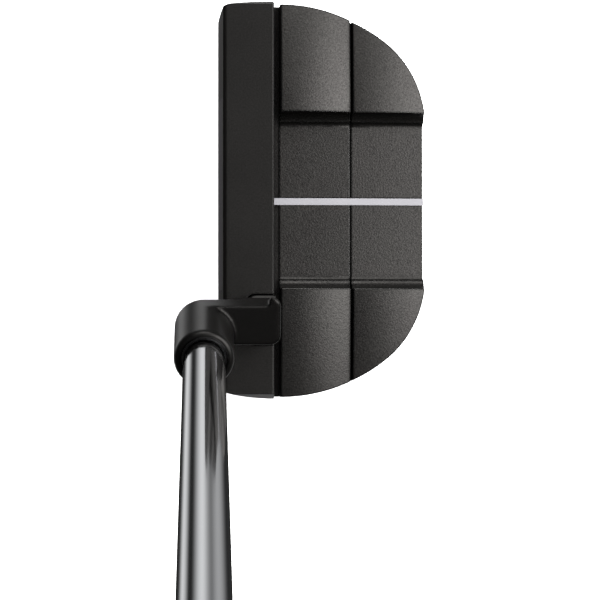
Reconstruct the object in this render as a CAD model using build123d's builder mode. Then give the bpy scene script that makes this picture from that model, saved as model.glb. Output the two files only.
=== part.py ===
from build123d import *
from math import asin, atan, cos, degrees, hypot, radians, sin, tan
import os

# Mallet putter, right-handed, standing at address. Millimetres.
# +X points away from the target (the face looks along -X), +Y to the toe, +Z up.
# The origin is on the ground, at the middle of the sole plate, under the sight line.

os.makedirs("parts", exist_ok=True)

# ---------------------------------------------------------------- driving dimensions
lie_angle = 70.0
loft_angle = 3.0
club_length = 889.0

# head, seen from above
bar_front = -26.35
bar_back = -12.5
bar_half = 50.0
bar_top = 25.0
bar_wide_z = 19.3
bar_top_half = 48.8
body_half = 49.65
body_back = 26.0
arc_start = -10.8
near_radius = 43.3
near_sweep = 37.6
far_radius = 27.0

# head, seen from the side
sole_thickness = 2.0
wide_z = 10.2
wall_draft = 20.0
crown_radius = 260.0
crown_top = 21.2
front_pad_drop = 2.4
front_pad_rise = 5.0
pad_step = 1.2
rear_pad_drop = 2.7
rear_pad_rise = 3.0
pad_chamfer = 0.4
crown_root = 225.0
pad_front = -10.8
slot_floor = 10.9
deck_front_z = 11.6
deck_drop = 2.3
deck_half = 19.0
pad_inner = 22.3
groove_x = 7.25
groove_width = 0.5
groove_depth = 0.8
groove_floor = deck_front_z - groove_depth - 0.35
groove_near = groove_x - groove_width / 2
groove_far = groove_x + groove_width / 2
cutter_reach = 15.0
flat_half = 24.0
camber_radius = 420.0

# inlay, insert and fasteners
line_width = 1.7
line_depth = 0.5
insert_length = 48.5
insert_height = 18.6
insert_centre = (1.75, 12.9)
insert_corner = 3.0
plate_thickness = 2.3
bond_thickness = 0.2
backing_thickness = 2.0
bar_screw_y = (-40.5, -24.0, 24.0, 40.5)
bar_screw_z = 5.2
bar_screw_radius = 1.5
bar_screw_head = 2.6
sole_screw_points = ((-5.5, 19.0), (-5.5, -19.0), (0.0, 41.5), (0.0, -41.5), (19.0, 13.0), (19.0, -13.0))
sole_screw_radius = 1.25
weight_x = 8.0
weight_y = 31.0
weight_radius = 8.0
cavity_roof = 8.2
cavity_front = -8.5
cavity_half = 17.0
cavity_back = 16.5
side_cavity = (5.5, 23.0)
side_cavity_y = 32.5
flange_length = 12.0
flange_half = 44.15
sole_screw_depth = 5.5
plate_inset = 3.3
countersink_radius = 2.75
countersink_depth = 1.4
sole_screw_head = 2.35
sole_screw_head_z = 0.35
sole_screw_head_height = 1.1
sole_screw_shank = 5.9
sole_screw_hex = 1.1
hex_depth = 1.0
bar_screw_shank = 11.0
bar_screw_head_height = 3.0
bar_screw_hex = 1.4
weight_z = 0.8
weight_height = 6.6
weight_hex = 3.4
weight_hex_depth = 3.0
weight_chamfer = 0.4
washer_z = 7.4
washer_bore = 5.0
fit = 0.15

# neck
shaft_x = -30.0
mouth_y = -40.1
mouth_z = 75.0
barrel_radius = 7.03
barrel_length = 23.2
arm_thickness = 5.7
arm_width = 9.75
bore_radius = 5.2
bore_depth = 20.5
post_x = (-22.1, -11.8)
post_y = (-35.7, -25.3)
post_corner = 2.2
post_ease_x = -14.6
foot_x = (-19.2, -12.0)
foot_y = (-36.4, -24.0)
foot_depth = 4.0
tenon_radius = 4.0
tenon_bottom = 13.0
neck_screw_radius = 2.5
neck_screw_head = 4.2
neck_screw_end = 29.0

# shaft and grip
mouth_radius = 4.9
shaft_taper = 0.0035
butt_radius = 7.37
shaft_wall = 0.5
grip_length = 267.0
tape_thickness = 0.2
cap_thickness = 4.0
skin_thickness = 1.3
bond_recess = 1.2

# ---------------------------------------------------------------- shared places
up_shaft = Vector(0, -cos(radians(lie_angle)), sin(radians(lie_angle)))
mouth_point = Vector(shaft_x, mouth_y, mouth_z)
ground_point = mouth_point - up_shaft * (mouth_z / up_shaft.Z)
mouth_s = mouth_z / up_shaft.Z
tip_s = mouth_s - bore_depth + 0.5
butt_s = club_length - cap_thickness
grip_s = club_length - grip_length
shaft_axis = Axis(ground_point, up_shaft)
# profile plane for everything turned about the shaft: (radius, distance up the shaft)
turning_plane = Plane(origin=ground_point, x_dir=(1, 0, 0), z_dir=Vector(1, 0, 0).cross(up_shaft))
face_normal = Vector(-cos(radians(loft_angle)), 0, sin(radians(loft_angle)))
body_bottom = sole_thickness
neck_screw_place = ((foot_x[0] + foot_x[1]) / 2 - 1.5, (post_y[0] + post_y[1]) / 2)


def across_shaft(distance):
    """Plane square to the shaft, that distance up from the ground along its axis."""
    return Plane(origin=ground_point + up_shaft * distance, x_dir=(1, 0, 0), z_dir=up_shaft)


def face_x(z):
    """Where the lofted face is at height z."""
    return bar_front + (z - 4) * tan(radians(loft_angle))


def sag(length, drop, rise=0.0):
    """Radius and sweep of an arc that starts rise degrees uphill and ends drop lower, length further on."""
    half_sweep = radians(rise) + atan(drop / length)
    return hypot(length, drop) / (2 * sin(half_sweep)), 2 * degrees(half_sweep)


def shaft_radius(distance):
    """Outer radius of the shaft at a distance up its axis."""
    return min(butt_radius, mouth_radius + shaft_taper * (distance - mouth_s))


def half_moon(inset, front_x):
    """Plan outline of the rear body, moved in by inset and cut straight at front_x."""
    near = near_radius - inset
    far = far_radius - inset
    centre_x = arc_start + (near_radius - far_radius) * sin(radians(near_sweep))
    far_sweep = degrees(asin((body_back - inset - centre_x) / far)) - near_sweep
    with BuildSketch(mode=Mode.PRIVATE) as outline:
        with BuildLine():
            side = Line((front_x, body_half - inset), (arc_start, body_half - inset))
            first = JernArc(side @ 1, (1, 0), near, -near_sweep)
            second = JernArc(first @ 1, first % 1, far, -far_sweep)
            Line(second @ 1, ((second @ 1).X, 0))
            Line(((second @ 1).X, 0), (front_x, 0))
            Line((front_x, 0), side @ 0)
        make_face()
        mirror(about=Plane.XZ)
    return outline.sketch


def camber_cut():
    """What the sole's heel and toe relief takes away, seen from the front: (Y, Z)."""
    with BuildSketch(mode=Mode.PRIVATE) as relief:
        with BuildLine():
            rise = JernArc((flat_half, 0), (1, 0), camber_radius, 8)
            Line(rise @ 1, ((rise @ 1).X, -1))
            Line(((rise @ 1).X, -1), (flat_half, -1))
            Line((flat_half, -1), (flat_half, 0))
        make_face()
        mirror(about=Plane.YZ)
    return relief.sketch


def turned(points):
    """Profile about the shaft from (distance up the shaft, radius) corners."""
    with BuildSketch(mode=Mode.PRIVATE) as profile:
        with BuildLine():
            Polyline([(radius, distance) for distance, radius in points], close=True)
        make_face()
    return profile.sketch


# ---------------------------------------------------------------- face bar
pocket_depth = plate_thickness + bond_thickness + backing_thickness
face_centre = Vector(face_x(insert_centre[1]), insert_centre[0], insert_centre[1])


def face_plane(depth):
    """Plane of the face, moved into the bar by depth, with its own Z out of the face."""
    return Plane(origin=face_centre - face_normal * depth, x_dir=(0, -1, 0), z_dir=face_normal)


with BuildPart() as face_bar:
    # side view: lofted face, round leading edge, bevel along the top of the face
    with BuildSketch(Plane.XZ):
        with BuildLine():
            Polyline(
                (bar_back, 0),
                (bar_back, bar_top - 0.3),
                (bar_back - 0.3, bar_top),
                (face_x(bar_top) + 0.95, bar_top),
                (face_x(bar_top - 0.5), bar_top - 0.5),
                (face_x(0), 0),
                close=True,
            )
        profile = make_face()
        fillet(profile.vertices().group_by(Axis.Y)[0].sort_by(Axis.X)[0], 3.8)
    extrude(amount=bar_half + 5, both=True)
    # front view: cambered sole, rounded heel and toe, ends that lean in above the widest line
    with BuildSketch(Plane.YZ.offset(bar_front - 5)):
        with BuildLine():
            flat = Line((0, 0), (flat_half, 0))
            rise = JernArc(flat @ 1, (1, 0), camber_radius, 5.7)
            corner = JernArc(rise @ 1, rise % 1, 7.0, 80.4)
            Polyline(corner @ 1, (bar_half, bar_wide_z), (bar_top_half, bar_top), (0, bar_top), (0, 0))
        make_face()
        mirror(about=Plane.YZ)
    extrude(amount=30, mode=Mode.INTERSECT)
    # plan view: bowed ends and round front corners
    with BuildSketch(Plane.XY):
        with BuildLine():
            bow = JernArc((bar_back, bar_half), (-1, 0), 48.0, 14.1)
            nose = JernArc(bow @ 1, bow % 1, 3.0, 75.9)
            Polyline(nose @ 1, ((nose @ 1).X, 0), (bar_back, 0), (bar_back, bar_half))
        make_face()
        mirror(about=Plane.XZ)
    extrude(amount=bar_top, mode=Mode.INTERSECT)
    # pocket for the face insert
    with BuildSketch(face_plane(pocket_depth)):
        RectangleRounded(insert_length, insert_height, insert_corner)
    extrude(amount=pocket_depth + 2, mode=Mode.SUBTRACT)
    # seat for the neck's foot, open to the back, and the hole for its tenon and screw
    with BuildSketch(Plane.XY.offset(bar_top - foot_depth)):
        with Locations((foot_x[0] - 0.25, (foot_y[0] + foot_y[1]) / 2)):
            RectangleRounded(30, foot_y[1] - foot_y[0] + 0.5, 1.9, align=(Align.MIN, Align.CENTER))
    extrude(amount=foot_depth, mode=Mode.SUBTRACT)
    with Locations((*neck_screw_place, bar_top - foot_depth)):
        Hole(tenon_radius, depth=bar_top - foot_depth - tenon_bottom)
    with Locations(Plane(origin=(*neck_screw_place, 0), x_dir=(1, 0, 0), z_dir=(0, 0, -1))):
        CounterBoreHole(neck_screw_radius + 0.1, neck_screw_head + 0.2, 5.0, depth=tenon_bottom + 1)
    # tapped holes for the screws that hold the rear body, and a lightening pocket between them
    for screw_y in bar_screw_y:
        with Locations(Plane(origin=(bar_back, screw_y, bar_screw_z), z_dir=(1, 0, 0))):
            Hole(bar_screw_radius, depth=8.0)
    with Locations((bar_back, 0, 3.0)):
        Box(7.0, 32.0, 6.5, align=(Align.MAX, Align.CENTER, Align.MIN), mode=Mode.SUBTRACT)
face_bar.part.label = "face_bar"
export_step(face_bar.part, "parts/face_bar.step")

# ---------------------------------------------------------------- face insert
with BuildPart() as insert_backing:
    with BuildSketch(face_plane(pocket_depth)):
        RectangleRounded(insert_length, insert_height, insert_corner)
    extrude(amount=backing_thickness)
insert_backing.part.label = "insert_backing"
export_step(insert_backing.part, "parts/insert_backing.step")

with BuildPart() as insert_bond:
    with BuildSketch(face_plane(plate_thickness + bond_thickness)):
        RectangleRounded(insert_length, insert_height, insert_corner)
    extrude(amount=bond_thickness)
insert_bond.part.label = "insert_bond"
export_step(insert_bond.part, "parts/insert_bond.step")

with BuildPart() as face_insert:
    with BuildSketch(face_plane(plate_thickness)):
        RectangleRounded(insert_length - 0.1, insert_height - 0.1, insert_corner)
    extrude(amount=plate_thickness)
face_insert.part.label = "face_insert"
export_step(face_insert.part, "parts/face_insert.step")

# ---------------------------------------------------------------- rear body
crown_centre = Vector(0, 0, crown_top - crown_radius)
crown_half_angle = 12.0
crown_plane = Plane(
    origin=crown_centre,
    x_dir=(1, 0, 0),
    z_dir=(0, -cos(radians(crown_half_angle)), sin(radians(crown_half_angle))),
)
deck_arc = sag(body_back + 2 - (bar_back - 1.5), deck_drop)
with BuildLine(Plane.XZ) as deck_path:
    JernArc((bar_back - 1.5, deck_front_z), (1, 0), deck_arc[0], -deck_arc[1])

with BuildPart() as rear_body:
    # drafted lower wall and upright upper wall on the same half-moon
    with BuildSketch(Plane.XY.offset(wide_z)):
        add(half_moon(0, bar_back))
    extrude(amount=body_bottom - wide_z, taper=wall_draft)
    with BuildSketch(Plane.XY.offset(wide_z)):
        add(half_moon(0, bar_back))
    extrude(amount=crown_top + 1 - wide_z)
    # the drafted wall also leans off the bar, so the front is made good down to the sole
    with BuildSketch(Plane.XY.offset(body_bottom)):
        with Locations((bar_back, 0)):
            Rectangle(flange_length, 2 * flange_half, align=(Align.MIN, Align.CENTER))
    extrude(amount=wide_z - body_bottom)
    # crowned tops: each pad rolls over and falls away to the back, with a chamfer at its front and back
    with BuildSketch(crown_plane):
        with BuildLine():
            lead = Polyline(
                (bar_back - 1, crown_radius - pad_chamfer),
                (pad_front, crown_radius - pad_chamfer),
                (pad_front + pad_chamfer, crown_radius),
            )
            arc = sag(groove_near - pad_chamfer - (lead @ 1).X, front_pad_drop, front_pad_rise)
            front = JernArc(lead @ 1, (1, tan(radians(front_pad_rise))), arc[0], -arc[1])
            rear_start = Vector(groove_far + pad_chamfer, (front @ 1).Y - pad_step)
            Polyline(
                front @ 1,
                front @ 1 + Vector(pad_chamfer, -pad_chamfer),
                rear_start - Vector(pad_chamfer, pad_chamfer),
                rear_start,
            )
            arc = sag(body_back + 1 - rear_start.X, rear_pad_drop, rear_pad_rise)
            rear = JernArc(rear_start, (1, tan(radians(rear_pad_rise))), arc[0], -arc[1])
            Polyline(rear @ 1, ((rear @ 1).X, crown_root), (bar_back - 1, crown_root), lead @ 0)
        make_face()
    revolve(axis=Axis(crown_centre, (1, 0, 0)), revolution_arc=2 * crown_half_angle, mode=Mode.INTERSECT)
    # gap between the bar and the pads
    with BuildSketch(Plane.XY.offset(slot_floor)):
        with Locations((bar_back, 0)):
            Rectangle(pad_front - bar_back, 3 * body_half, align=(Align.MIN, Align.CENTER))
    extrude(amount=cutter_reach, mode=Mode.SUBTRACT)
    # centre channel: flat deck, small cove, ledge, then a deep cove up to the pads
    with BuildSketch(Plane.YZ.offset(bar_back - 1.5)):
        with BuildLine():
            deck = Line((0, deck_front_z), (deck_half, deck_front_z))
            cove = JernArc(deck @ 1, (1, 0), 1.2, 80)
            ledge = Line(cove @ 1, cove @ 1 + Vector(0.45, 0.15))
            wall = ThreePointArc(
                ledge @ 1,
                (pad_inner - 0.5, deck_front_z + 2.4),
                (pad_inner, deck_front_z + 4.5),
            )
            Polyline(wall @ 1, (pad_inner, deck_front_z + 14), (0, deck_front_z + 14), deck @ 0)
        make_face()
        mirror(about=Plane.YZ)
    sweep(path=deck_path.line, mode=Mode.SUBTRACT)
    # cross groove between the front and rear pads, carried on across the deck
    with BuildSketch(Plane.XY.offset(groove_floor)):
        with Locations((groove_x, 0)):
            Rectangle(groove_width, 3 * body_half)
    extrude(amount=cutter_reach, mode=Mode.SUBTRACT)
    # channel for the sight line
    with BuildSketch(Plane.YZ.offset(bar_back - 1.5)):
        with Locations((0, deck_front_z)):
            Rectangle(line_width, 2 * line_depth)
    sweep(path=deck_path.line, mode=Mode.SUBTRACT)
    # cavities under the deck and behind the screws, open to the sole plate
    with Locations((cavity_front, 0, body_bottom)):
        Box(
            cavity_back - cavity_front,
            2 * cavity_half,
            cavity_roof - body_bottom,
            align=(Align.MIN, Align.CENTER, Align.MIN),
            mode=Mode.SUBTRACT,
        )
    for side in (-1, 1):
        with Locations((cavity_front, side * side_cavity_y, body_bottom)):
            Box(
                *side_cavity,
                cavity_roof - body_bottom,
                align=(Align.MIN, Align.CENTER, Align.MIN),
                mode=Mode.SUBTRACT,
            )
    # threaded pockets for the weights, sole screw holes, and clearance for the bar screws
    with Locations(Plane(origin=(0, 0, body_bottom), x_dir=(1, 0, 0), z_dir=(0, 0, -1))):
        with Locations((weight_x, weight_y), (weight_x, -weight_y)):
            Hole(weight_radius, depth=cavity_roof - body_bottom)
        with Locations(*sole_screw_points):
            Hole(sole_screw_radius, depth=sole_screw_depth)
    for screw_y in bar_screw_y:
        with Locations(Plane(origin=(cavity_front, screw_y, bar_screw_z), z_dir=(1, 0, 0))):
            Hole(bar_screw_radius, depth=cavity_front - bar_back + 1)
rear_body.part.label = "rear_body"
export_step(rear_body.part, "parts/rear_body.step")

with BuildPart() as damping_pad:
    with Locations((cavity_front, 0, body_bottom)):
        Box(
            cavity_back - cavity_front,
            2 * cavity_half,
            cavity_roof - body_bottom,
            align=(Align.MIN, Align.CENTER, Align.MIN),
        )
    fillet(damping_pad.edges().filter_by(Axis.Z), 2.0)
damping_pad.part.label = "damping_pad"
export_step(damping_pad.part, "parts/damping_pad.step")

# ---------------------------------------------------------------- sight line
with BuildPart() as sight_line:
    with BuildSketch(Plane.YZ.offset(bar_back - 1.5)):
        with Locations((0, deck_front_z - line_depth / 2)):
            Rectangle(line_width, line_depth)
    sweep(path=deck_path.line)
    with BuildSketch(Plane.XY):
        add(half_moon(0, bar_back))
    extrude(amount=bar_top, mode=Mode.INTERSECT)
sight_line.part.label = "sight_line"
export_step(sight_line.part, "parts/sight_line.step")

# ---------------------------------------------------------------- sole plate and its screws
with BuildPart() as sole_plate:
    with BuildSketch(Plane.XY):
        add(half_moon(plate_inset, bar_back + 0.1))
    extrude(amount=sole_thickness)
    with BuildSketch(Plane.YZ.offset(bar_back - 1)):
        add(camber_cut())
    extrude(amount=50, mode=Mode.SUBTRACT)
    with Locations(Plane(origin=(0, 0, 0), x_dir=(1, 0, 0), z_dir=(0, 0, -1))):
        with Locations((weight_x, weight_y), (weight_x, -weight_y)):
            Hole(weight_radius + 2 * fit, depth=sole_thickness + 1)
        with Locations(*sole_screw_points):
            Hole(sole_screw_radius + fit, depth=sole_thickness + 1)
    with Locations(*[(x, y, 0) for x, y in sole_screw_points]):
        Cone(
            countersink_radius,
            sole_screw_radius + fit,
            countersink_depth,
            align=(Align.CENTER, Align.CENTER, Align.MIN),
            mode=Mode.SUBTRACT,
        )
sole_plate.part.label = "sole_plate"
export_step(sole_plate.part, "parts/sole_plate.step")

with BuildPart() as sole_screws:
    with Locations(*[(x, y, sole_screw_head_z) for x, y in sole_screw_points]):
        Cone(
            sole_screw_head,
            sole_screw_radius,
            sole_screw_head_height,
            align=(Align.CENTER, Align.CENTER, Align.MIN),
        )
    with Locations(*[(x, y, sole_screw_head_z + sole_screw_head_height) for x, y in sole_screw_points]):
        Cylinder(sole_screw_radius, sole_screw_shank, align=(Align.CENTER, Align.CENTER, Align.MIN))
    with BuildSketch(Plane.XY.offset(sole_screw_head_z)):
        with Locations(*sole_screw_points):
            RegularPolygon(sole_screw_hex, 6)
    extrude(amount=hex_depth, mode=Mode.SUBTRACT)
sole_screws.part.label = "sole_screws"
export_step(sole_screws.part, "parts/sole_screws.step")

with BuildPart() as bar_screws:
    for screw_y in bar_screw_y:
        with BuildSketch(Plane(origin=(cavity_front, screw_y, bar_screw_z), z_dir=(-1, 0, 0))):
            Circle(bar_screw_radius)
        extrude(amount=bar_screw_shank)
        with BuildSketch(Plane(origin=(cavity_front, screw_y, bar_screw_z), z_dir=(1, 0, 0))):
            Circle(bar_screw_head)
        extrude(amount=bar_screw_head_height)
        socket_x = cavity_front + bar_screw_head_height / 2
        with BuildSketch(Plane(origin=(socket_x, screw_y, bar_screw_z), z_dir=(1, 0, 0))):
            RegularPolygon(bar_screw_hex, 6)
        extrude(amount=bar_screw_head_height, mode=Mode.SUBTRACT)
bar_screws.part.label = "bar_screws"
export_step(bar_screws.part, "parts/bar_screws.step")

# ---------------------------------------------------------------- sole weights
for name, side in (("heel_weight", -1), ("toe_weight", 1)):
    with BuildPart() as weight:
        with BuildSketch(Plane(origin=(weight_x, side * weight_y, weight_z))):
            Circle(weight_radius - 0.02)
        extrude(amount=weight_height)
        chamfer(weight.edges().group_by(Axis.Z)[0], weight_chamfer)
        with BuildSketch(Plane(origin=(weight_x, side * weight_y, weight_z))):
            RegularPolygon(weight_hex, 6)
        extrude(amount=weight_hex_depth, mode=Mode.SUBTRACT)
    weight.part.label = name
    export_step(weight.part, f"parts/{name}.step")

with BuildPart() as weight_washers:
    with BuildSketch(Plane.XY.offset(washer_z)):
        with Locations((weight_x, weight_y), (weight_x, -weight_y)):
            Circle(weight_radius - 2 * fit)
            Circle(washer_bore, mode=Mode.SUBTRACT)
    extrude(amount=cavity_roof - washer_z)
weight_washers.part.label = "weight_washers"
export_step(weight_washers.part, "parts/weight_washers.step")

# ---------------------------------------------------------------- neck
barrel_s = mouth_s - barrel_length
post_size = (post_x[1] - post_x[0], post_y[1] - post_y[0])
post_centre = ((post_x[0] + post_x[1]) / 2, (post_y[0] + post_y[1]) / 2)

with BuildPart() as hosel:
    # upright post, cut off square to the shaft at the arm's top
    with BuildSketch(Plane.XY.offset(bar_top)):
        with Locations(post_centre):
            RectangleRounded(*post_size, post_corner)
    extrude(amount=45)
    split(bisect_by=across_shaft(barrel_s + arm_thickness), keep=Keep.BOTTOM)
    # the post's top is eased back to the line of the arm, all but its rear corner
    with BuildSketch(across_shaft(barrel_s - 2)):
        with Locations((0, barrel_radius)):
            Rectangle(post_ease_x - shaft_x, arm_width, align=(Align.MIN, Align.MIN))
    extrude(amount=arm_thickness + 4, mode=Mode.SUBTRACT)
    # crank arm, square to the shaft, flush with the barrel on the toe side, round at the back
    with BuildSketch(across_shaft(barrel_s)):
        with BuildLine():
            reach = post_x[1] - shaft_x
            Polyline(
                (0, barrel_radius),
                (reach, barrel_radius),
                (reach, barrel_radius - arm_width),
                (0, barrel_radius - arm_width),
                close=True,
            )
        arm = make_face()
        fillet(arm.vertices().group_by(Axis.X)[-1], post_corner)
    extrude(amount=arm_thickness)
    # foot that fills the seat in the bar, and the tenon below it
    with BuildSketch(Plane.XY.offset(bar_top - foot_depth)):
        with Locations((foot_x[0], (foot_y[0] + foot_y[1]) / 2)):
            seat = Rectangle(foot_x[1] - foot_x[0], foot_y[1] - foot_y[0], align=(Align.MIN, Align.CENTER))
        fillet(seat.vertices().group_by(Axis.X)[0], 1.65)
    extrude(amount=foot_depth)
    with Locations((*neck_screw_place, bar_top - foot_depth)):
        Cylinder(
            tenon_radius,
            bar_top - foot_depth - tenon_bottom,
            align=(Align.CENTER, Align.CENTER, Align.MAX),
        )
    # barrel with a rounded lip and heel
    with BuildSketch(across_shaft(barrel_s)):
        Circle(barrel_radius)
    extrude(amount=barrel_length)
    fillet(hosel.edges().filter_by(GeomType.CIRCLE).sort_by(shaft_axis)[-1], 1.2)
    # bore for the shaft and threaded hole for the screw from below
    with Locations(across_shaft(mouth_s)):
        Hole(bore_radius, depth=bore_depth)
    with Locations(Plane(origin=(*neck_screw_place, tenon_bottom), x_dir=(1, 0, 0), z_dir=(0, 0, -1))):
        Hole(neck_screw_radius, depth=neck_screw_end - tenon_bottom)
hosel.part.label = "hosel"
export_step(hosel.part, "parts/hosel.step")

with BuildPart() as hosel_screw:
    with BuildSketch(Plane.XY.offset(0.6)):
        with Locations(neck_screw_place):
            Circle(neck_screw_head)
    extrude(amount=5.0 - 0.6)
    with BuildSketch(Plane.XY.offset(5.0)):
        with Locations(neck_screw_place):
            Circle(neck_screw_radius)
    extrude(amount=neck_screw_end - 1.0 - 5.0)
    with BuildSketch(Plane.XY.offset(0.6)):
        with Locations(neck_screw_place):
            RegularPolygon(2.3, 6)
    extrude(amount=2.6, mode=Mode.SUBTRACT)
hosel_screw.part.label = "hosel_screw"
export_step(hosel_screw.part, "parts/hosel_screw.step")

# ---------------------------------------------------------------- shaft
parallel_s = mouth_s + (butt_radius - mouth_radius) / shaft_taper


def shaft_line(start, end, offset):
    """Corners of a line that keeps an even offset from the shaft's outside."""
    stations = [start] + [s for s in (parallel_s,) if start < s < end] + [end]
    return [(s, shaft_radius(s) + offset) for s in stations]


def sleeve(start, end, inner, outer):
    """Closed profile of a sleeve that follows the shaft's taper."""
    return turned(shaft_line(start, end, outer) + shaft_line(start, end, inner)[::-1])


with BuildPart() as shaft:
    with BuildSketch(turning_plane):
        add(sleeve(tip_s, butt_s, -shaft_wall, 0))
    revolve(axis=shaft_axis)
shaft.part.label = "shaft"
export_step(shaft.part, "parts/shaft.step")

with BuildPart() as shaft_bond:
    with BuildSketch(turning_plane):
        low = tip_s
        high = mouth_s - bond_recess
        add(turned([(low, bore_radius), (high, bore_radius), (high, shaft_radius(high)), (low, shaft_radius(low))]))
    revolve(axis=shaft_axis)
shaft_bond.part.label = "shaft_bond"
export_step(shaft_bond.part, "parts/shaft_bond.step")

with BuildPart() as shaft_plug:
    with BuildSketch(turning_plane):
        low = tip_s + 1.0
        high = tip_s + 9.0
        add(turned([
            (low, 0),
            (low, shaft_radius(low) - shaft_wall),
            (high, shaft_radius(high) - shaft_wall),
            (high, 0),
        ]))
    revolve(axis=shaft_axis)
shaft_plug.part.label = "shaft_plug"
export_step(shaft_plug.part, "parts/shaft_plug.step")

with BuildPart() as shaft_band:
    with BuildSketch(turning_plane):
        add(sleeve(grip_s - 62, grip_s - 12, 0, 0.12))
    revolve(axis=shaft_axis)
shaft_band.part.label = "shaft_band"
export_step(shaft_band.part, "parts/shaft_band.step")

# ---------------------------------------------------------------- grip
with BuildPart() as grip_tape:
    with BuildSketch(turning_plane):
        add(sleeve(grip_s + 2, butt_s, 0, tape_thickness))
    revolve(axis=shaft_axis)
grip_tape.part.label = "grip_tape"
export_step(grip_tape.part, "parts/grip_tape.step")

# stations up the grip: share of its length, half width, flat front, rounded back
grip_stations = (
    (0.00, 9.8, 9.4, 10.2),
    (0.25, 10.5, 9.8, 11.2),
    (0.55, 11.5, 10.3, 12.8),
    (0.82, 12.6, 10.7, 15.6),
    (1.00, 12.5, 10.7, 16.6),
)


def grip_section(half_width, front, back, inset):
    """Section of the grip: a flat front on the toe side and a full round back."""
    flat = 0.55 * half_width
    with BuildSketch(mode=Mode.PRIVATE) as section:
        with BuildLine():
            Line((-flat, front - inset), (flat, front - inset))
            Spline(
                (flat, front - inset),
                (half_width - inset, 0),
                (0.76 * (half_width - inset), 0.66 * (inset - back)),
                (0, inset - back),
                (0.76 * (inset - half_width), 0.66 * (inset - back)),
                (inset - half_width, 0),
                (-flat, front - inset),
                tangents=((1, -0.35), (1, 0.35)),
            )
        make_face()
    return section.sketch


def grip_form(inset):
    """The grip's body as a loft through its stations, moved in by inset."""
    with BuildPart(mode=Mode.PRIVATE) as form:
        for share, half_width, front, back in grip_stations:
            with BuildSketch(across_shaft(grip_s + share * (butt_s - grip_s))):
                add(grip_section(half_width, front, back, inset))
        loft()
    return form.part


with BuildPart() as grip_core:
    add(grip_form(skin_thickness))
    with BuildSketch(turning_plane):
        add(turned([(grip_s - 1, 0)] + shaft_line(grip_s - 1, butt_s + 1, tape_thickness) + [(butt_s + 1, 0)]))
    revolve(axis=shaft_axis, mode=Mode.SUBTRACT)
grip_core.part.label = "grip_core"
export_step(grip_core.part, "parts/grip_core.step")

with BuildPart() as grip_cover:
    add(grip_form(0))
    add(grip_form(skin_thickness), mode=Mode.SUBTRACT)
grip_cover.part.label = "grip_cover"
export_step(grip_cover.part, "parts/grip_cover.step")

with BuildPart() as grip_cap:
    for height, inset in ((0.0, 0.0), (0.7 * cap_thickness, 0.3), (cap_thickness, 1.8)):
        with BuildSketch(across_shaft(butt_s + height)):
            add(grip_section(*grip_stations[-1][1:], inset))
    loft(ruled=True)
grip_cap.part.label = "grip_cap"
export_step(grip_cap.part, "parts/grip_cap.step")
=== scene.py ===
import math

import bpy
from mathutils import Matrix, Vector

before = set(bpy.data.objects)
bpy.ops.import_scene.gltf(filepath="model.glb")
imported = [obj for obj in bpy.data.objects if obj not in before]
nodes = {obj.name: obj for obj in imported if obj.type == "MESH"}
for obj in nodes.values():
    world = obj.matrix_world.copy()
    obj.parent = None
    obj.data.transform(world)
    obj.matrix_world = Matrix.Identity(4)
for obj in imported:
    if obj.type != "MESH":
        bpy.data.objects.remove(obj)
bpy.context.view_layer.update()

# Mallet putter at address: black bead-blasted head, cranked neck, black chrome shaft, pistol grip.
scene = bpy.context.scene
MM = 0.001
WHITE = (1.0, 1.0, 1.0, 1.0)
# The face looks the other way from BACKWARD.
BACKWARD = (1, 0, 0)
UPWARD = (0, 0, 1)
DOWNWARD = (0, 0, -1)

# ---------------------------------------------------------------- how the shaft lies
LIE = math.radians(70)
UP_SHAFT = Vector((0, -math.cos(LIE), math.sin(LIE)))
TOE_SIDE = Vector((0, math.sin(LIE), math.cos(LIE)))


# ---------------------------------------------------------------- shader graphs
class Value:
    """A number, colour or direction in a graph. Arithmetic on it adds Math nodes."""

    def __init__(self, graph, socket):
        self.graph = graph
        self.socket = socket

    def __add__(self, other):
        return self.graph.maths("ADD", self, other)

    def __sub__(self, other):
        return self.graph.maths("SUBTRACT", self, other)

    def __rsub__(self, other):
        return self.graph.maths("SUBTRACT", other, self)

    def __mul__(self, other):
        return self.graph.maths("MULTIPLY", self, other)

    __radd__ = __add__
    __rmul__ = __mul__

    def clamped(self):
        """The value held between 0 and 1."""
        return self.graph.maths("MINIMUM", self.graph.maths("MAXIMUM", self, 0.0), 1.0)


class Step:
    """A node in a graph, whose outputs are read as values."""

    def __init__(self, graph, made):
        self.graph = graph
        self.made = made

    def out(self, which):
        return Value(self.graph, self.made.outputs[which])


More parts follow.
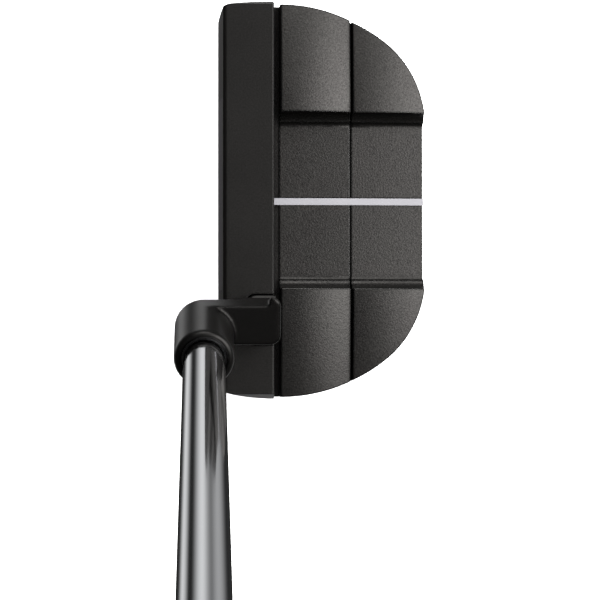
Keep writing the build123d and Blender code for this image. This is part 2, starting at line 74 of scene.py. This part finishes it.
class Graph:
    """A tree of shader nodes under construction."""

    # Sockets of a Mix node that is set to mix colours.
    MIX_SHARE, MIX_LOW, MIX_HIGH, MIX_RESULT = 0, 6, 7, 2

    def __init__(self, tree):
        self.tree = tree

    def put(self, socket, value):
        """Links a value to a socket, or sets a constant on it. None leaves the socket alone."""
        if isinstance(value, Value):
            self.tree.links.new(value.socket, socket)
        elif value is not None:
            socket.default_value = value

    def node(self, kind, settings=None, values=()):
        """Adds a node: its settings first, then its sockets, by position or by name."""
        made = self.tree.nodes.new(kind)
        for key, value in (settings or {}).items():
            setattr(made, key, value)
        pairs = values.items() if isinstance(values, dict) else enumerate(values)
        for key, value in pairs:
            self.put(made.inputs[key], value)
        return Step(self, made)

    def maths(self, operation, *values):
        return self.node("ShaderNodeMath", {"operation": operation}, values).out(0)

    def agreement(self, one, other):
        """1 where two directions are the same, 0 where they are square to each other."""
        return self.node("ShaderNodeVectorMath", {"operation": "DOT_PRODUCT"}, (one, other)).out("Value")

    def ramp(self, value, start, full, low, high, easing="LINEAR"):
        """Goes from low to high while the value goes from start to full."""
        sockets = (value, start, full, low, high)
        return self.node("ShaderNodeMapRange", {"interpolation_type": easing}, sockets).out(0)

    def blend(self, share, low, high):
        """A colour between low and high."""
        sockets = {self.MIX_SHARE: share, self.MIX_LOW: low, self.MIX_HIGH: high}
        return self.node("ShaderNodeMix", {"data_type": "RGBA"}, sockets).out(self.MIX_RESULT)


class Finish(Graph):
    """A material under construction."""

    # An edge begins where the eased and the flat surface directions agree less than this.
    EDGE_START = 0.993
    # A place that sees this share of its surroundings or less counts as a crevice.
    CREVICE = 0.35
    CREVICE_SLOPE = 1.55

    def __init__(self, name):
        self.material = bpy.data.materials.new(name)
        self.material.use_nodes = True
        super().__init__(self.material.node_tree)
        self.tree.nodes.clear()
        surface = self.node("ShaderNodeBsdfPrincipled")
        self.node("ShaderNodeOutputMaterial", None, {"Surface": surface.out(0)})
        self.shader = surface.made
        self.place = self.node("ShaderNodeTexCoord").out("Object")

    def noise(self, scale, detail=3.0, roughness=0.55, place=None):
        sockets = {"Vector": place or self.place, "Scale": scale, "Detail": detail, "Roughness": roughness}
        return self.node("ShaderNodeTexNoise", None, sockets).out(0)

    def cells(self, scale):
        """Distance from the middle of the nearest of many scattered cells."""
        return self.node("ShaderNodeTexVoronoi", None, {"Vector": self.place, "Scale": scale}).out(0)

    def stretched(self, scale):
        """The place on the piece, drawn out along some axes."""
        return self.node("ShaderNodeMapping", None, {"Vector": self.place, "Scale": scale}).out(0)

    def rounded(self, radius, samples=6):
        """The surface direction with every sharp edge eased over to this radius."""
        return self.node("ShaderNodeBevel", {"samples": samples}, {"Radius": radius}).out(0)

    def openness(self, reach, samples=8):
        """1 on open faces and falling to 0 down grooves and in corners."""
        seen = self.node("ShaderNodeAmbientOcclusion", {"samples": samples}, {"Distance": reach}).out("AO")
        return ((seen - self.CREVICE) * self.CREVICE_SLOPE).clamped()

    def edges(self, sharpness, reach=0.16 * MM):
        """1 where the surface turns an outer corner within reach, and 0 on open faces."""
        flat = self.node("ShaderNodeNewGeometry").out("Normal")
        same = self.agreement(flat, self.rounded(reach, samples=4))
        return ((self.EDGE_START - same) * sharpness).clamped() * self.openness(0.8 * MM, samples=4)

    def bump(self, height, strength, depth, base=None):
        """The surface direction after relief of this depth, laid over the base direction."""
        sockets = {"Strength": strength, "Distance": depth, "Height": height, "Normal": base}
        return self.node("ShaderNodeBump", None, sockets).out(0)

    def done(self, **sockets):
        """Feeds the shader's sockets, named with _ for a space, and hands over the material."""
        for key, value in sockets.items():
            self.put(self.shader.inputs[key.replace("_", " ")], value)
        return self.material


def grey(value, warmth=0.0):
    """A linear grey, a little warm or cool."""
    return (value * (1 + warmth), value, value * (1 - warmth), 1.0)


# ---------------------------------------------------------------- finishes
def blasted_black(name, tone, sparkle, grain, rough, relief, broken):
    """Black bead-blasted metal: fine grain, faint sparkle, painted shade in grooves, painted dark rims,
    and painted highlights on outer corners that are also a little smoother from wear.
    """
    f = Finish(name)

    def black(share):
        return grey(tone * share, 0.05)

    fine = f.noise(grain, 2.0, 0.6)
    cloud = f.noise(55.0)
    speck = (fine * 1.5 - 0.25 + cloud * 0.2).clamped()
    skin = f.blend(speck, black(1 - sparkle), black(1 + sparkle))
    # Painted shade: the colour goes nearly black down grooves and in corners, where the surroundings hide
    # the light.
    skin = f.blend(f.openness(2.0 * MM), black(0.15), skin)
    # Painted shade and reflection: a dark band is painted along the outer edges, standing in for an eased
    # edge that mirrors the dark room.
    skin = f.blend(f.edges(30.0, 1.5 * broken) * 0.9, skin, black(0.1))
    # Painted highlight: the very edges are painted lighter, standing in for the thin lines of light that
    # eased edges catch. The same mask makes them a touch smoother, as rubbed wear would.
    edge_highlight_and_wear = f.edges(6.0, 0.2 * MM)
    return f.done(
        Base_Color=f.blend(edge_highlight_and_wear * 0.6, skin, grey(0.12, 0.02)),
        Metallic=0.8,
        Specular_IOR_Level=0.2,
        Roughness=rough + (cloud - 0.5) * 0.1 - edge_highlight_and_wear * 0.08,
        Normal=f.bump(fine, relief, 0.06 * MM, f.rounded(broken)),
    )


def turned_steel(name, tone, rough):
    """Bare turned or brushed steel with faint tool lines."""
    f = Finish(name)
    lines = f.noise(900.0, 2.0, 0.5, f.stretched((0.15, 1.0, 1.0)))
    cloud = f.noise(90.0)
    return f.done(
        Base_Color=f.blend(cloud, grey(tone * 0.85), grey(tone * 1.15)),
        Metallic=1.0,
        Roughness=rough + lines * 0.15 + f.edges(8.0) * 0.05,
        Normal=f.bump(lines, 0.15, 0.04 * MM),
    )


def black_chrome(name):
    """Smoked chrome plating on a drawn tube, with the faintest haze and polishing lines."""
    f = Finish(name)
    haze = f.noise(40.0)
    lines = f.noise(700.0, 2.0, 0.5, f.stretched((1.0, 1.0, 0.02)))
    return f.done(
        Base_Color=f.blend(haze, (0.56, 0.57, 0.585, 1), (0.60, 0.61, 0.625, 1)),
        Metallic=1.0,
        Roughness=0.075 + haze * 0.02 + lines * 0.015 + f.edges(4.0) * 0.02,
        Normal=f.bump(lines, 0.01, 0.02 * MM),
    )


def milled_insert(name):
    """Dark insert with a fine cross-milled face."""
    f = Finish(name)
    cuts = {"Vector": f.place, "Scale": 260.0}
    rows = f.node("ShaderNodeTexWave", {"bands_direction": "Z"}, cuts).out(1)
    ranks = f.node("ShaderNodeTexWave", {"bands_direction": "Y"}, cuts).out(1)
    mesh = rows * ranks
    return f.done(
        Base_Color=f.blend(mesh, (0.030, 0.028, 0.034, 1), (0.075, 0.070, 0.085, 1)),
        Metallic=0.9,
        Roughness=0.32 + f.noise(300.0) * 0.12 - f.edges(6.0) * 0.05,
        Normal=f.bump(mesh, 0.5, 0.08 * MM),
    )


def line_paint(name):
    """Pale paint filled flush into a milled line."""
    f = Finish(name)
    grain = f.noise(2400.0, 2.0)
    cloud = f.noise(60.0)
    return f.done(
        Base_Color=f.blend(cloud * 0.6 + grain * 0.3, (0.150, 0.147, 0.158, 1), (0.215, 0.21, 0.225, 1)),
        Roughness=0.5 + grain * 0.12 - f.edges(5.0) * 0.05,
        Normal=f.bump(grain, 0.2, 0.04 * MM),
    )


def soft_black(name, tone, grain, rough, relief, depth):
    """Rubber, foam and moulded plastic."""
    f = Finish(name)
    fine = f.noise(grain)
    cloud = f.noise(35.0)
    return f.done(
        Base_Color=f.blend(cloud * 0.7 + f.edges(5.0) * 0.3, grey(tone * 0.8), grey(tone * 1.5)),
        Roughness=rough + (fine - 0.5) * 0.15,
        Normal=f.bump(fine, relief, depth),
    )


def pebbled_rubber(name, tone, pitch):
    """Moulded grip rubber with a pebbled pattern, dulled on the high spots by hands."""
    f = Finish(name)
    pore = f.noise(1800.0, 2.0)
    cloud = f.noise(30.0)
    high = (1.0 - f.cells(1 / pitch) * 1.4).clamped()
    tint = (high * 0.5 + cloud * 0.4 + f.edges(5.0) * 0.2).clamped()
    return f.done(
        Base_Color=f.blend(tint, grey(tone * 0.6, 0.02), grey(tone * 1.6, 0.02)),
        Roughness=0.58 + cloud * 0.14 - high * 0.06,
        Normal=f.bump(high * 0.8 + pore * 0.2, 0.8, 0.4 * MM),
    )


def woven_tape(name):
    """Creped masking-type tape under the grip."""
    f = Finish(name)
    crepe = f.noise(900.0, 2.0, 0.5, f.stretched((1.0, 0.2, 0.2)))
    return f.done(
        Base_Color=f.blend(crepe, (0.48, 0.42, 0.30, 1), (0.66, 0.60, 0.46, 1)),
        Roughness=0.7 + crepe * 0.15,
        Normal=f.bump(crepe, 0.3, 0.1 * MM),
    )


finishes = {
    "face_bar": blasted_black(
        "black_bar", tone=0.0085, sparkle=0.35, grain=2400.0, rough=0.36, relief=0.4, broken=0.25 * MM
    ),
    "hosel": blasted_black(
        "black_neck", tone=0.0085, sparkle=0.15, grain=3200.0, rough=0.30, relief=0.10, broken=0.6 * MM
    ),
    "rear_body": blasted_black(
        "black_body", tone=0.0140, sparkle=0.7, grain=2400.0, rough=0.32, relief=0.8, broken=0.45 * MM
    ),
    "sight_line": line_paint("line_paint"),
    "face_insert": milled_insert("milled_insert"),
    "insert_backing": soft_black(
        "insert_elastomer", tone=0.03, grain=800.0, rough=0.6, relief=0.2, depth=0.1 * MM
    ),
    "insert_bond": soft_black("bond_film", tone=0.3, grain=500.0, rough=0.4, relief=0.1, depth=0.1 * MM),
    "sole_plate": turned_steel("sole_steel", tone=0.16, rough=0.3),
    "sole_screws": turned_steel("screw_steel", tone=0.3, rough=0.25),
    "bar_screws": turned_steel("cap_screw_steel", tone=0.12, rough=0.35),
    "hosel_screw": turned_steel("neck_screw_steel", tone=0.25, rough=0.25),
    "heel_weight": turned_steel("heel_weight_steel", tone=0.42, rough=0.22),
    "toe_weight": turned_steel("toe_weight_steel", tone=0.42, rough=0.22),
    "weight_washers": soft_black(
        "washer_rubber", tone=0.02, grain=900.0, rough=0.6, relief=0.2, depth=0.1 * MM
    ),
    "damping_pad": soft_black(
        "damping_rubber", tone=0.03, grain=500.0, rough=0.7, relief=0.3, depth=0.2 * MM
    ),
    "shaft": black_chrome("black_chrome"),
    "shaft_bond": soft_black("black_glue", tone=0.004, grain=900.0, rough=0.3, relief=0.1, depth=0.1 * MM),
    "shaft_plug": soft_black("plug_plastic", tone=0.2, grain=700.0, rough=0.5, relief=0.1, depth=0.1 * MM),
    "shaft_band": soft_black(
        "band_film", tone=0.035, grain=900.0, rough=0.25, relief=0.05, depth=0.05 * MM
    ),
    "grip_tape": woven_tape("grip_tape_crepe"),
    "grip_core": soft_black("grip_foam", tone=0.04, grain=600.0, rough=0.8, relief=0.5, depth=0.3 * MM),
    "grip_cover": pebbled_rubber("grip_rubber", tone=0.022, pitch=1.6 * MM),
    "grip_cap": soft_black("cap_rubber", tone=0.02, grain=1100.0, rough=0.55, relief=0.25, depth=0.1 * MM),
}
for name, material in finishes.items():
    mesh = nodes[name].data
    mesh.materials.clear()
    mesh.materials.append(material)


# ---------------------------------------------------------------- broken edges and the cast neck
def weld(piece):
    """Joins the faces along their shared edges, so that what follows works on one skin."""
    joined = piece.modifiers.new("weld", "WELD")
    joined.merge_threshold = 0.001 * MM


def break_edges(name, width, angle):
    """Edges sharper than the angle get the small bevel that a machined and blasted piece has."""
    piece = nodes[name]
    piece.data.shade_smooth()
    weld(piece)
    flat = piece.modifiers.new("flat", "DECIMATE")
    flat.decimate_type = "DISSOLVE"
    flat.angle_limit = math.radians(0.3)
    bevel = piece.modifiers.new("bevel", "BEVEL")
    bevel.width = width
    bevel.segments = 2
    bevel.limit_method = "ANGLE"
    bevel.angle_limit = math.radians(angle)
    bevel.use_clamp_overlap = True
    bevel.harden_normals = True
    even = piece.modifiers.new("even", "WEIGHTED_NORMAL")
    even.mode = "FACE_AREA"
    even.weight = 100


def soften_casting(name, grain, passes):
    """The cast neck is skinned over at a fine pitch and eased, which rounds its edges and corners."""
    piece = nodes[name]
    weld(piece)
    skin = piece.modifiers.new("skin", "REMESH")
    skin.mode = "VOXEL"
    skin.voxel_size = grain
    skin.use_smooth_shade = True
    ease = piece.modifiers.new("ease", "SMOOTH")
    ease.factor = 0.5
    ease.iterations = passes


break_edges("rear_body", width=0.12 * MM, angle=28.0)
break_edges("face_bar", width=0.22 * MM, angle=35.0)
soften_casting("hosel", grain=0.3 * MM, passes=22)

# ---------------------------------------------------------------- camera
# It stands over the upright plane that holds the shaft and aims at the ground under the heel side
# of the body, so that the head and the lower shaft are both in view.
EYE = Vector((-0.030, -0.03777, 0.691))
AIM = Vector((-0.005192, -0.024849, 0.0))
lens = bpy.data.cameras.new("camera")
lens.sensor_width = 36.0
lens.lens = 160.44
lens.clip_start = 0.01
lens.clip_end = 20.0
camera = bpy.data.objects.new("camera", lens)
camera.location = EYE
back = (EYE - AIM).normalized()
across = (Vector(BACKWARD) - back * back.x).normalized()
camera.rotation_mode = "QUATERNION"
camera.rotation_quaternion = Matrix((across, back.cross(across), back)).transposed().to_quaternion()
scene.collection.objects.link(camera)
scene.camera = camera

# ---------------------------------------------------------------- floor
FLOOR_HALF = 3.0
FLOOR_GAP = 0.5 * MM
corners = [(x * FLOOR_HALF, y * FLOOR_HALF, 0) for x, y in ((-1, -1), (1, -1), (1, 1), (-1, 1))]
floor_mesh = bpy.data.meshes.new("floor")
floor_mesh.from_pydata(corners, [], [(0, 1, 2, 3)])
pale = Finish("pale_floor")
floor_mesh.materials.append(
    pale.done(
        Base_Color=pale.blend(pale.noise(4.0), grey(0.86), grey(0.88)),
        Roughness=0.9,
        Emission_Color=WHITE,
        Emission_Strength=0.75,
    )
)
floor = bpy.data.objects.new("floor", floor_mesh)
floor.location.z = -FLOOR_GAP
# The shaft and the head reflect the room below the floor, where the soft strips are.
floor.visible_glossy = False
scene.collection.objects.link(floor)

# ---------------------------------------------------------------- softbox behind and to the toe side
SOFTBOX_PLACE = Vector((1.5, 0.3, 1.1))
softbox = bpy.data.lights.new("back_right", "AREA")
softbox.shape = "RECTANGLE"
softbox.size = 1.2
softbox.size_y = 1.6
softbox.energy = 12
lamp = bpy.data.objects.new("back_right", softbox)
lamp.location = SOFTBOX_PLACE
lamp.rotation_mode = "QUATERNION"
lamp.rotation_quaternion = (-SOFTBOX_PLACE).to_track_quat("-Z", "Y")
scene.collection.objects.link(lamp)

# ---------------------------------------------------------------- the room that the metal reflects
world = bpy.data.worlds.new("studio")
world.use_nodes = True
scene.world = world
room = Graph(world.node_tree)
direction = room.node("ShaderNodeTexCoord").out("Generated")


def along(axis):
    """How far the direction being looked in leans along an axis."""
    return room.agreement(direction, axis)


def glow(toward, start, full, strength):
    """A soft patch of light in the room, brightest in one direction."""
    lean = along(tuple(Vector(toward).normalized()))
    return room.ramp(lean, start, full, 0.0, strength, "SMOOTHSTEP")


# Soft strips run along the shaft below the floor. Each has the angle round the shaft at its
# middle and its reach to either side, both in degrees, and its strength.
STRIPS = ((-96, 34, 0.85), (-9, 46, 0.95), (62, 54, 0.48))
BETWEEN_STRIPS = 0.03
around = room.maths("ARCTAN2", along(BACKWARD), along(tuple(TOE_SIDE)))
strips = BETWEEN_STRIPS
for middle, reach, strength in STRIPS:
    away = room.maths("ABSOLUTE", around - math.radians(middle))
    strips = room.ramp(away, 0.0, math.radians(reach), strength, 0.0, "SMOOTHSTEP") + strips

# Looking away from the shaft, the room below the floor is a plain grey that brightens downward.
down_shaft = glow(-UP_SHAFT, 0.70, 0.80, 1.0)
ground = room.ramp(along(DOWNWARD), 0.12, 0.5, 0.12, 0.6)
under = strips * down_shaft + ground * (1.0 - down_shaft)

# Above the floor there is a dim sky with one broad glow and two bright ones.
SKY_DIM = 0.06
overhead = glow((0.5, 0.20, 0.83), 0.35, 1.0, 0.62)
behind = glow((0.66, 0.12, 0.74), 0.80, 0.99, 11.0)
past_toe = glow((0.0, 0.78, 0.62), 0.90, 0.99, 9.0)
sky = overhead + behind + SKY_DIM + past_toe

below = room.ramp(along(UPWARD), -0.02, 0.0, 1.0, 0.0)
light = under * below + sky * (1.0 - below)
# What the camera sees past the edge of the floor is plain white.
seen = room.node("ShaderNodeLightPath").out("Is Camera Ray")
room.put(world.node_tree.nodes["Background"].inputs["Color"], room.blend(seen, light, WHITE))
scene.view_settings.view_transform = "Standard"
